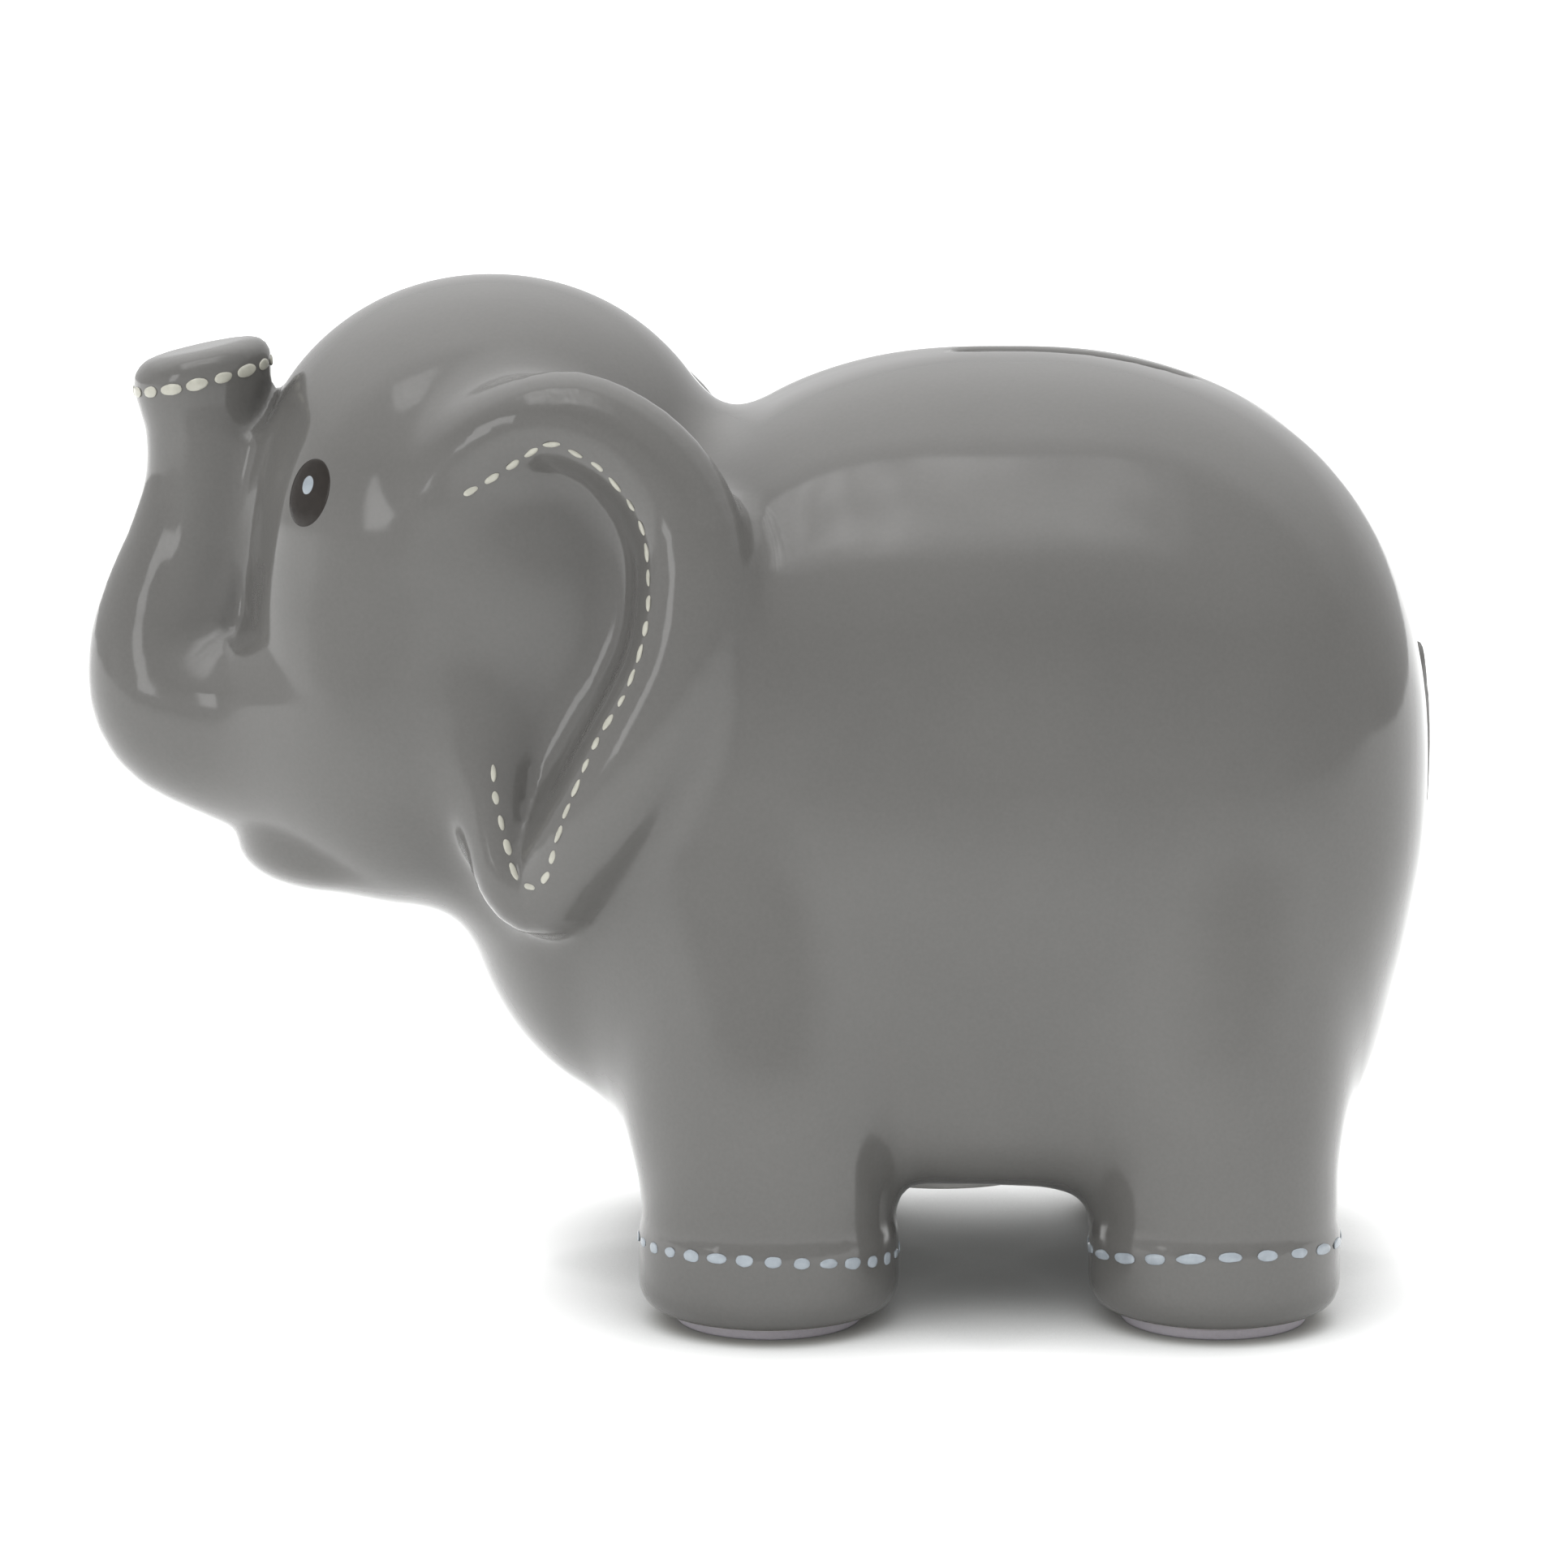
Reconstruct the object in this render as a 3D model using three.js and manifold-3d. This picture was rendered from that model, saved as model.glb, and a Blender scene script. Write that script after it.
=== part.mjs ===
// Figural coin bank: a standing baby elephant in glazed ceramic, trunk raised against its forehead.
// The torso, head, trunk, ears, legs and tail are castings with a narrow joint between them. Coins go in
// through a slot on the back and come out through the belly, which a soft stopper closes.
// Frame: +Z up, the elephant faces -X, its left side is -Y, and the origin lies on the floor under
// the middle of its bounding box. Millimetres.

import * as THREE from 'three';
import { mergeVertices } from 'three/addons/utils/BufferGeometryUtils.js';
import Module from 'manifold-3d';

const wasm = await Module();
wasm.setup();

// Driving dimensions
const WALL = 4; // thickness of the cast wall
const GAP = 0.3; // joint between neighbouring pieces
const FACETS = { outside: [18, 12], inside: [12, 8] }; // round and down each ovoid
const SIDES = { left: -1, right: 1 };

const LEG = { radius: 22.3, spread: 38, top: 45, round: 6 };
const LEG_X = { front: 2, rear: 80.5 };
const PAD = { radius: 16.3, height: 2, edge: 0.5 };
const SLOT = { x: 56.2, length: 41.3, width: 5, from: 150, to: 180 };
const HOLE = { x: 33, radius: 16.2, from: 10, to: 40 };
const STOPPER = { flange: 21, thickness: 2.2, top: 21, edge: 0.6 };
const STEM = { radius: 15.9, height: 9, bore: 13, floor: 2.4 }; // cup of the stopper inside the hole
const GRIP = { radius: 9.5, draft: 0.5, depth: 1 }; // shallow recess under the stopper
const NECK = { nape: [-3.4, 157], throat: [-56, 63.7] };
const TRUNK_END = { x: -98.5, z: 166, slope: 20.8 };
const EAR = { inner: 22, depth: 22, round: 5, middle: [-30, 122] };
const DISH = { depth: 8, share: 0.7 }; // hollow in the face of an ear
const FLARE = { slope: 0.31, from: -50 }; // how an ear swings out to the rear
const TAIL = { top: 118.5, bottom: 76, neck: 3.2, tuft: 5.2, relief: 1.2, middle: 94, from: 80, to: 140 };
const HALF_SPACE = 500; // side of a box large enough to cut any piece in two

// Rounded masses of the figure: a power above 2 squares an ovoid off towards a box.
const BARREL = { centre: [42, 0, 94], radii: [77, 59.5, 73], power: 2.2 };
const CHEST = { centre: [-6, 0, 78], radii: [47, 44, 50], power: 2.2 };
const BELLY = { centre: [40, 0, 50], radii: [50, 44, 28.7], power: 4 };
const HAUNCH = { centre: [80, 28, 52], radii: [31.5, 30, 36], power: 2.2 };
const SHOULDER = { centre: [-2, 26, 52], radii: [33, 30, 32], power: 2.2 };
const CRANIUM = { centre: [-47.5, 0, 136], radii: [44.5, 43.5, 44.3], power: 2.05 };
const MUZZLE = { centre: [-62, 0, 104], radii: [33, 40, 38.5], power: 2.1 };
const LOWER_LIP = { centre: [-72, 0, 80], radii: [22.5, 20, 11], power: 2 };

// Centre line and radius of the trunk, from the muzzle up to its open end: x, z, radius.
const TRUNK_LINE = [
  [-80, 103, 19], [-93, 100, 17.3], [-103.6, 102.5, 15.6], [-106.2, 112, 13.4],
  [-105, 123, 12.4], [-101.6, 136, 11.6], [-98.5, 149, 11.2], [-98, 161, 11.8], [-98.5, 176, 12.8],
];
const BRIDGE = [[-104, 100], [-78, 96], [-70, 120], [-78, 152], [-84, 157], [-98, 160]];
const BRIDGE_THICKNESS = 11;

// Outline of an ear seen from its side, starting where its top meets the cheek: x, z.
const EAR_OUTLINE = [
  [-54, 150], [-47, 162], [-32, 168.6], [-15.5, 164], [-6.5, 148], [-2.4, 129],
  [-14, 103], [-29, 78], [-39, 72.4], [-46, 80], [-49, 95], [-50, 122],
];

const glaze = { color: 0x7b7a78, roughness: 0.14, metalness: 0 };
const vinyl = { color: 0xd9d6d0, roughness: 0.45, metalness: 0 };
const foam = { color: 0xc9c5cc, roughness: 0.7, metalness: 0 };

const group = new THREE.Group();

function toSolid(geometry) {
  const bare = geometry.clone();
  bare.deleteAttribute('normal');
  bare.deleteAttribute('uv');
  const merged = mergeVertices(bare);
  const vertProperties = Float32Array.from(merged.attributes.position.array);
  const triVerts = Uint32Array.from(merged.index.array);
  return new wasm.Manifold(new wasm.Mesh({ numProp: 3, vertProperties, triVerts }));
}

function toGeometry(solid) {
  const mesh = solid.getMesh();
  const geometry = new THREE.BufferGeometry();
  geometry.setAttribute('position', new THREE.BufferAttribute(mesh.vertProperties, 3));
  geometry.setIndex(new THREE.BufferAttribute(mesh.triVerts, 1));
  geometry.computeVertexNormals();
  return geometry;
}

function addPiece(name, solid, finish) {
  const mesh = new THREE.Mesh(toGeometry(solid), new THREE.MeshStandardMaterial(finish));
  mesh.name = name;
  group.add(mesh);
}

function join(solids) {
  return solids.reduce((sum, next) => sum.add(next));
}

function mirrored(form, side) {
  const [x, y, z] = form.centre;
  return { ...form, centre: [x, y * side, z] };
}

// A superellipsoid, every radius longer by grow. An inner surface, grow below 0, needs fewer facets.
function ovoid({ centre, radii, power }, grow = 0) {
  const [around, down] = grow < 0 ? FACETS.inside : FACETS.outside;
  const geometry = new THREE.SphereGeometry(1, around, down);
  const position = geometry.attributes.position;
  const point = new THREE.Vector3();
  for (let i = 0; i < position.count; i += 1) {
    point.fromBufferAttribute(position, i);
    const reach = point.toArray().reduce((sum, part) => sum + Math.abs(part) ** power, 0);
    point.divideScalar(reach ** (1 / power));
    const [x, y, z] = point.toArray().map((part, axis) => centre[axis] + part * (radii[axis] + grow));
    position.setXYZ(i, x, y, z);
  }
  return toSolid(geometry);
}

// A turned piece standing on the XY plane at x, y: its profile runs from the axis to the axis, upwards.
function turned(profile, x, y, sides = 16) {
  const points = profile.map(([radius, height]) => new THREE.Vector2(radius, height));
  const geometry = new THREE.LatheGeometry(points, sides);
  geometry.rotateX(Math.PI / 2);
  geometry.translate(x, y, 0);
  return toSolid(geometry);
}

// An outline in X and Z pushed out along Y from near to far.
function slab(shape, near, far, bevel = 0) {
  const geometry = new THREE.ExtrudeGeometry(shape, {
    depth: far - near - 2 * bevel,
    curveSegments: 4,
    bevelEnabled: bevel > 0,
    bevelThickness: bevel,
    bevelSize: bevel,
    bevelOffset: -bevel,
    bevelSegments: 2,
  });
  geometry.rotateX(Math.PI / 2);
  geometry.translate(0, far - bevel, 0);
  return geometry;
}

function leg(x, side, grow) {
  const radius = LEG.radius + grow;
  const bottom = PAD.height + GAP - grow;
  const corner = LEG.round * (1 - Math.SQRT1_2);
  const profile = [
    [0, bottom],
    [radius - LEG.round, bottom],
    [radius - corner, bottom + corner],
    [radius, bottom + LEG.round],
    [radius, LEG.top],
    [radius * 0.8, LEG.top + radius * 0.6],
    [0, LEG.top + radius],
  ];
  return turned(profile, x, side * LEG.spread);
}

// The torso without its legs, as masses that are grow larger all round.
function torsoMass(grow) {
  const sides = Object.values(SIDES);
  return join([
    ...[BARREL, CHEST, BELLY].map((form) => ovoid(form, grow)),
    ...sides.map((side) => ovoid(mirrored(HAUNCH, side), grow)),
    ...sides.map((side) => ovoid(mirrored(SHOULDER, side), grow)),
  ]);
}

function headMass(grow) {
  return join([CRANIUM, MUZZLE].map((form) => ovoid(form, grow)));
}

// The half of space in front of the neck joint, moved back by offset.
function frontOfNeck(offset) {
  const [napeX, napeZ] = NECK.nape;
  const [throatX, throatZ] = NECK.throat;
  const lean = Math.atan2(napeX - throatX, napeZ - throatZ);
  const geometry = new THREE.BoxGeometry(HALF_SPACE, HALF_SPACE, HALF_SPACE);
  geometry.translate(offset - HALF_SPACE / 2, 0, 0);
  geometry.rotateY(lean);
  geometry.translate((napeX + throatX) / 2, 0, (napeZ + throatZ) / 2);
  return toSolid(geometry);
}

function coinSlot() {
  const radius = SLOT.width / 2;
  const reach = SLOT.length / 2 - radius;
  const shape = new THREE.Shape();
  shape.absarc(reach, 0, radius, -Math.PI / 2, Math.PI / 2);
  shape.absarc(-reach, 0, radius, Math.PI / 2, Math.PI * 1.5);
  const geometry = new THREE.ExtrudeGeometry(shape, {
    depth: SLOT.to - SLOT.from,
    curveSegments: 6,
    bevelEnabled: false,
  });
  geometry.translate(SLOT.x, 0, SLOT.from);
  return toSolid(geometry);
}

function bellyHole() {
  const { x, radius, from, to } = HOLE;
  return turned([[0, from], [radius, from], [radius, to], [0, to]], x, 0, 20);
}

// A round limb along a smooth line in the plane Y = 0.
function limb(line, sides, steps) {
  const stations = line.map(([x, z]) => new THREE.Vector3(x, 0, z));
  const path = new THREE.CatmullRomCurve3(stations, false, 'centripetal');
  const across = new THREE.Vector3(0, 1, 0);
  const vertices = [];
  const faces = [];
  for (let step = 0; step <= steps; step += 1) {
    const along = step / steps;
    const middle = path.getPoint(along);
    const out = new THREE.Vector3().crossVectors(across, path.getTangent(along));
    const reached = along * (line.length - 1);
    const before = Math.min(Math.floor(reached), line.length - 2);
    const radius = THREE.MathUtils.lerp(line[before][2], line[before + 1][2], reached - before);
    for (let side = 0; side < sides; side += 1) {
      const angle = (side / sides) * Math.PI * 2;
      const point = middle.clone();
      point.addScaledVector(out, Math.cos(angle) * radius);
      point.addScaledVector(across, Math.sin(angle) * radius);
      vertices.push(...point.toArray());
    }
  }
  for (let ring = 0; ring < steps; ring += 1) {
    for (let side = 0; side < sides; side += 1) {
      const a = ring * sides + side;
      const b = ring * sides + ((side + 1) % sides);
      faces.push(a, b, a + sides);
      faces.push(b, b + sides, a + sides);
    }
  }
  const last = steps * sides;
  for (let side = 1; side < sides - 1; side += 1) {
    faces.push(0, side + 1, side);
    faces.push(last, last + side, last + side + 1);
  }
  const geometry = new THREE.BufferGeometry();
  geometry.setAttribute('position', new THREE.Float32BufferAttribute(vertices, 3));
  geometry.setIndex(faces);
  return toSolid(geometry);
}

function trunk(neighbours) {
  const above = new THREE.BoxGeometry(HALF_SPACE, HALF_SPACE, HALF_SPACE);
  above.translate(0, 0, HALF_SPACE / 2);
  above.rotateY(-THREE.MathUtils.degToRad(TRUNK_END.slope));
  above.translate(TRUNK_END.x, 0, TRUNK_END.z);
  const web = new THREE.Shape(BRIDGE.map(([x, z]) => new THREE.Vector2(x, z)));
  const bridge = toSolid(slab(web, -BRIDGE_THICKNESS / 2, BRIDGE_THICKNESS / 2));
  return limb(TRUNK_LINE, 12, 14).add(bridge).subtract(toSolid(above)).subtract(neighbours);
}

// An ear is a thick dished plate, cut to lie against the cheek and the nape, flaring out to the rear.
function ear(side, neighbours) {
  const middle = new THREE.Vector2(...EAR.middle);
  const outline = new THREE.SplineCurve(EAR_OUTLINE.map(([x, z]) => new THREE.Vector2(x, z)));
  const edge = outline.getSpacedPoints(24);
  const hollow = edge.map((point) => point.clone().sub(middle).multiplyScalar(DISH.share).add(middle));
  const outer = EAR.inner + EAR.depth;
  const plate = slab(new THREE.Shape(edge), EAR.inner, outer, EAR.round);
  const dish = slab(new THREE.Shape(hollow), outer - DISH.depth, outer + DISH.depth);
  const flare = new THREE.Matrix4();
  flare.makeShear(FLARE.slope, 0, 0, 0, 0, 0);
  flare.setPosition(0, -FLARE.slope * FLARE.from, 0);
  plate.applyMatrix4(flare);
  dish.applyMatrix4(flare);
  const solid = toSolid(plate).subtract(toSolid(dish));
  return (side === SIDES.right ? solid : solid.mirror([0, 1, 0])).subtract(neighbours);
}

// The tail is a low relief on the middle of the rump, ending in a wider tuft.
function tail() {
  const shape = new THREE.Shape();
  shape.moveTo(-TAIL.neck, TAIL.top - TAIL.neck);
  shape.quadraticCurveTo(-TAIL.neck, TAIL.top, 0, TAIL.top);
  shape.quadraticCurveTo(TAIL.neck, TAIL.top, TAIL.neck, TAIL.top - TAIL.neck);
  shape.quadraticCurveTo(TAIL.neck, TAIL.middle, TAIL.tuft, (TAIL.middle + TAIL.bottom) / 2);
  shape.quadraticCurveTo(TAIL.tuft, TAIL.bottom, 0, TAIL.bottom);
  shape.quadraticCurveTo(-TAIL.tuft, TAIL.bottom, -TAIL.tuft, (TAIL.middle + TAIL.bottom) / 2);
  shape.quadraticCurveTo(-TAIL.neck, TAIL.middle, -TAIL.neck, TAIL.top - TAIL.neck);
  const geometry = slab(shape, TAIL.from, TAIL.to);
  geometry.rotateZ(-Math.PI / 2);
  return toSolid(geometry).intersect(torsoMass(GAP + TAIL.relief)).subtract(torsoMass(GAP));
}

function stopper() {
  const bottom = STOPPER.top - STOPPER.thickness;
  const stemTop = STOPPER.top + STEM.height;
  const { edge } = STOPPER;
  const profile = [
    [0, bottom + GRIP.depth],
    [GRIP.radius - GRIP.draft, bottom + GRIP.depth],
    [GRIP.radius, bottom],
    [STOPPER.flange - edge, bottom],
    [STOPPER.flange, bottom + edge],
    [STOPPER.flange, STOPPER.top - edge],
    [STOPPER.flange - edge, STOPPER.top],
    [STEM.radius, STOPPER.top],
    [STEM.radius, stemTop - 2 * edge],
    [STEM.radius - edge, stemTop],
    [STEM.bore, stemTop],
    [STEM.bore, STOPPER.top + STEM.floor],
    [0, STOPPER.top + STEM.floor],
  ];
  return turned(profile, HOLE.x, 0, 20);
}

function footPad(x, side) {
  const { radius, height, edge } = PAD;
  const profile = [
    [0, 0],
    [radius - edge, 0],
    [radius, edge],
    [radius, height - edge],
    [radius - edge, height],
    [0, height],
  ];
  return turned(profile, x, side * LEG.spread);
}

// One cavity runs through the torso, the head and down into the four legs.
const legPlaces = Object.entries(LEG_X).flatMap(([end, x]) =>
  Object.entries(SIDES).map(([sideName, side]) => ({ name: `${end}_${sideName}`, x, side })));
const cavity = join([
  torsoMass(-WALL),
  headMass(-WALL),
  ...legPlaces.map(({ x, side }) => leg(x, side, -WALL)),
]);
const whole = torsoMass(0).add(headMass(0)).add(ovoid(LOWER_LIP));
const shell = whole.subtract(cavity).subtract(coinSlot()).subtract(bellyHole());
const surround = torsoMass(GAP).add(headMass(GAP)).add(ovoid(LOWER_LIP, GAP));

addPiece('torso_shell', shell.subtract(frontOfNeck(GAP / 2)), glaze);
addPiece('head_shell', shell.intersect(frontOfNeck(-GAP / 2)), glaze);
addPiece('trunk', trunk(surround), glaze);
for (const [sideName, side] of Object.entries(SIDES)) {
  addPiece(`${sideName}_ear`, ear(side, surround), glaze);
}
for (const { name, x, side } of legPlaces) {
  addPiece(`${name}_leg`, leg(x, side, 0).subtract(surround).subtract(cavity), glaze);
  addPiece(`${name}_foot_pad`, footPad(x, side), foam);
}
addPiece('tail', tail(), glaze);
addPiece('stopper', stopper(), vinyl);

export default group;
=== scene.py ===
import math

import bpy
import numpy as np
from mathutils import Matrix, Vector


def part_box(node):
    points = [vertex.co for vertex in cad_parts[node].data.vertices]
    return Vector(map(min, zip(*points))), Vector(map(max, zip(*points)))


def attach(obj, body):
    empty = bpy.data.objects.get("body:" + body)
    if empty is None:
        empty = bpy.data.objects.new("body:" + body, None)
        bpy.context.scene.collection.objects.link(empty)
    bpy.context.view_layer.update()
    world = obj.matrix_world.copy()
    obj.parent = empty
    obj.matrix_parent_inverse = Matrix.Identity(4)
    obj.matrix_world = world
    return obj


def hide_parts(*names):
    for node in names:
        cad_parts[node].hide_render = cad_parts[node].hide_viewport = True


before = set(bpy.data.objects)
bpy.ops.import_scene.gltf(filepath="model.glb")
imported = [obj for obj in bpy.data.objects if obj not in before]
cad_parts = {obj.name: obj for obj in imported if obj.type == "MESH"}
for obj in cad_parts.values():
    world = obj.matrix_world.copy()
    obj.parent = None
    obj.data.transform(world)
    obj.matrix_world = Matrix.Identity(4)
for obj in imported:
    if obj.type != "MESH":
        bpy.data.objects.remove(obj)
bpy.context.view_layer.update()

import openvdb
from mathutils import Vector

MM = 0.001


# Camera: a long lens a little above the bank, looking square at its left side.
AIM = Vector((4.7, 0, 88.7)) * MM
DISTANCE = 1.1
ELEVATION = math.radians(10)

camera = bpy.data.objects.new("camera", bpy.data.cameras.new("camera"))
bpy.context.scene.collection.objects.link(camera)
bpy.context.scene.camera = camera
camera.location = AIM + DISTANCE * Vector((0, -math.cos(ELEVATION), math.sin(ELEVATION)))
camera.rotation_euler = (AIM - camera.location).to_track_quat("-Z", "Y").to_euler()
camera.data.lens = 140.2
camera.data.sensor_width = 36
camera.data.clip_start = 0.05


# Studio: a wide white floor, a large curtained window in front of the bank and overhead, a small
# side window, and a pale room that is brightest overhead and behind. The paper has painted shadow,
# its colour darkened where the bank closes it in, and painted light, a glow of its own where it lies open.
FLOOR_HALF_WIDTH = 4
FLOOR_FRONT = -1.2
FLOOR_BACK = 8
FLOOR_STEPS = 8
FLOOR_FADE = {"slope": 2.2, "start": 1.5}
PAINTED_PAPER_GLOW_AND_SHADOW = {"far": 0.4, "reach": 0.035, "samples": 8, "open": 0.48}


def new_object(name, points, faces, edges=()):
    mesh = bpy.data.meshes.new(name)
    mesh.from_pydata([tuple(point) for point in points], edges, [tuple(face) for face in faces])
    mesh.polygons.foreach_set("use_smooth", [True] * len(mesh.polygons))
    made = bpy.data.objects.new(name, mesh)
    bpy.context.scene.collection.objects.link(made)
    return made


class Socket:
    """An output of a node, which can stand in a sum."""

    def __init__(self, tree, link):
        self.tree = tree
        self.link = link

    def sum(self, operation, *values):
        return self.tree.node("Math", {"operation": operation}, dict(enumerate(values)))

    def __add__(self, other):
        return self.sum("ADD", self, other)

    def __rsub__(self, other):
        return self.sum("SUBTRACT", other, self)

    def __mul__(self, other):
        return self.sum("MULTIPLY", self, other)

    def __truediv__(self, other):
        return self.sum("DIVIDE", self, other)

    __radd__ = __add__

    def clamp(self):
        return self.tree.node("Clamp", {}, {0: self})

    def pick(self, name):
        return Socket(self.tree, self.link.node.outputs[name])


class Tree:
    """A node tree. node() adds any node, with its settings first and then its sockets."""

    def __init__(self, tree, prefix):
        self.tree = tree
        self.prefix = prefix
        tree.nodes.clear()

    def node(self, kind, settings=None, sockets=None, stops=None, out=0):
        full_name = kind.startswith(("Function", "Shader", "NodeGroup"))
        made = self.tree.nodes.new(kind if full_name else self.prefix + kind)
        for name, value in (settings or {}).items():
            setattr(made, name, value)
        for index, (place, color) in enumerate(stops or []):
            ramp = made.color_ramp.elements
            stop = ramp[index] if index < 2 else ramp.new(place)
            stop.position = place
            stop.color = (*color, 1)
        for name, value in (sockets or {}).items():
            if isinstance(value, Socket):
                self.tree.links.new(value.link, made.inputs[name])
            else:
                made.inputs[name].default_value = value
        if not made.outputs:
            return made
        return Socket(self, made.outputs[out])


def new_material(name):
    material = bpy.data.materials.new(name)
    material.use_nodes = True
    return material, Tree(material.node_tree, "ShaderNode")


def linear(red, green, blue):
    """A colour in 0 to 255 steps as the light it gives back."""
    return tuple((part / 255 / 12.92) if part <= 10 else ((part / 255 + 0.055) / 1.055) ** 2.4
                 for part in (red, green, blue))


floor_points = [
    (side * FLOOR_HALF_WIDTH, FLOOR_FRONT + (FLOOR_BACK - FLOOR_FRONT) * step / FLOOR_STEPS, 0)
    for step in range(FLOOR_STEPS + 1) for side in (-1, 1)]
floor_faces = [(2 * i, 2 * i + 1, 2 * i + 3, 2 * i + 2) for i in range(FLOOR_STEPS)]
floor = new_object("floor", floor_points, floor_faces)
paper, tree = new_material("white_paper_painted_shadow_and_glow")
place = tree.node("TexCoord", out="Object")
grain = tree.node("TexNoise", {}, {"Vector": place, "Scale": 90.0, "Detail": 3.0})
paper_color = tree.node("Mix", {"data_type": "RGBA"}, {
    0: grain, 6: (0.87, 0.88, 0.875, 1), 7: (0.90, 0.90, 0.90, 1)}, out=2)
from_bank = tree.node("SeparateXYZ", {}, {0: place})
far = tree.node("VectorMath", {"operation": "LENGTH"}, {0: place}, out="Value")
edge = (from_bank.pick("Y") * FLOOR_FADE["slope"] + FLOOR_FADE["start"]).clamp()
# Painted light: the paper glows more the farther it lies from the bank.
far_light = tree.node("ValToRGB", {}, {0: far * PAINTED_PAPER_GLOW_AND_SHADOW["far"]}, stops=[
    (0.2, (0, 0, 0)), (1.0, (0.16, 0.16, 0.16))])
# Ambient occlusion finds where the bank closes the paper in; it drives the painted glow and the painted
# shadow below.
open_sky = tree.node("AmbientOcclusion", {"samples": PAINTED_PAPER_GLOW_AND_SHADOW["samples"]}, {
    "Distance": PAINTED_PAPER_GLOW_AND_SHADOW["reach"]}, out="AO")
# Painted light: more glow where the paper lies open.
painted_glow_where_open = open_sky * open_sky * PAINTED_PAPER_GLOW_AND_SHADOW["open"]
painted_paper_glow = tree.node("VectorMath", {"operation": "ADD"}, {
    0: far_light, 1: tree.node("CombineXYZ", {}, {0: painted_glow_where_open, 1: painted_glow_where_open, 2: painted_glow_where_open})})
# Painted shadow: the paper's colour turns grey where the bank closes it in.
paper_with_painted_shadow = tree.node("Mix", {"data_type": "RGBA"}, {
    0: open_sky, 6: (0.32, 0.33, 0.32, 1), 7: paper_color}, out=2)
surface = tree.node("BsdfPrincipled", {}, {
    "Base Color": paper_with_painted_shadow, "Roughness": 0.9, "Specular IOR Level": 0.1,
    "Emission Color": painted_paper_glow, "Emission Strength": 1.0, "Alpha": edge})
tree.node("OutputMaterial", {}, {"Surface": surface})
floor.data.materials.append(paper)

WINDOW = {"away": 1.7, "elevation": 65, "x": -0.3, "width": 1.8, "height": 1.2, "soft": 0.3,
          "hard_left": 0.05, "hard_top": 0.03, "glow": 2.9}
CURTAIN = {"folds": (7.0, 1.6, 1.0), "lean": 0.3, "contrast": 1.6, "least": 0.2}
SIDE_WINDOW = {"away": 1.5, "azimuth": 50, "elevation": 16, "width": 0.32, "height": 0.5,
               "power": 1.25}


def aim(light, away, azimuth, elevation):
    """Puts a light round the bank, turned to it. Azimuth runs to the left of the camera."""
    flat = math.cos(elevation)
    across, forward = -flat * math.sin(azimuth), -flat * math.cos(azimuth)
    light.location = away * Vector((across, forward, math.sin(elevation)))
    light.rotation_euler = (-light.location).to_track_quat("-Z", "Y").to_euler()


half_width, half_height = WINDOW["width"] / 2, WINDOW["height"] / 2
window = new_object("soft_window", [
    (-half_width, -half_height, 0), (half_width, -half_height, 0), (half_width, half_height, 0),
    (-half_width, half_height, 0)], [(3, 2, 1, 0)])
aim(window, WINDOW["away"], 0, math.radians(WINDOW["elevation"]))
window.location.x = WINDOW["x"]
curtain, tree = new_material("lit_curtain")
place = tree.node("TexCoord", out="Object")
across = tree.node("SeparateXYZ", {}, {0: place})
left_edge = ((across + half_width) / WINDOW["hard_left"]).clamp()
right_edge = ((half_width - across) / (2 * WINDOW["soft"])).clamp()
low_edge = ((across.pick("Y") + half_height) / WINDOW["soft"]).clamp()
high_edge = ((half_height - across.pick("Y")) / WINDOW["hard_top"]).clamp()
hung = tree.node("Mapping", {}, {
    0: place, "Scale": CURTAIN["folds"], "Rotation": (0, 0, CURTAIN["lean"])})
folds = tree.node("TexNoise", {}, {"Vector": hung, "Scale": 1.0, "Detail": 1.0})
strength = (folds * CURTAIN["contrast"] + CURTAIN["least"]) * WINDOW["glow"]
glow = tree.node("Emission", {}, {"Color": (1, 1, 1, 1), "Strength": strength})
lit_part = left_edge * right_edge * low_edge * high_edge
tree.node("OutputMaterial", {}, {"Surface": tree.node("MixShader", {}, {
    0: lit_part, 1: tree.node("BsdfTransparent"), 2: glow})})
window.data.materials.append(curtain)

lamp = bpy.data.lights.new("side_window", "AREA")
lamp.shape = "RECTANGLE"
lamp.size = SIDE_WINDOW["width"]
lamp.size_y = SIDE_WINDOW["height"]
lamp.energy = SIDE_WINDOW["power"]
side_window = bpy.data.objects.new("side_window", lamp)
bpy.context.scene.collection.objects.link(side_window)
aim(side_window, SIDE_WINDOW["away"], math.radians(SIDE_WINDOW["azimuth"]),
    math.radians(SIDE_WINDOW["elevation"]))

world = bpy.data.worlds.new("room")
bpy.context.scene.world = world
world.use_nodes = True
tree = Tree(world.node_tree, "ShaderNode")
way = tree.node("SeparateXYZ", {}, {0: tree.node("TexCoord", out="Generated")})
front = tree.node("ValToRGB", {}, {0: way.pick("Z")}, stops=[
    (0.0, (0.33, 0.33, 0.33)), (0.4, (0.24, 0.24, 0.24)), (0.95, (0.48, 0.48, 0.48))])
back = tree.node("ValToRGB", {}, {0: way.pick("Z")}, stops=[
    (0.0, (0.24, 0.24, 0.24)), (0.4, (0.32, 0.32, 0.32)), (1.0, (0.76, 0.76, 0.76))])
behind = (way.pick("Y") * 4 + 0.5).clamp()
room_light = tree.node("Mix", {"data_type": "RGBA"}, {0: behind, 6: front, 7: back}, out=2)
from_left = way.pick("X") * -0.12 + 1.02
left_tone = tree.node("CombineColor", {}, {0: from_left, 1: from_left, 2: from_left})
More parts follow.
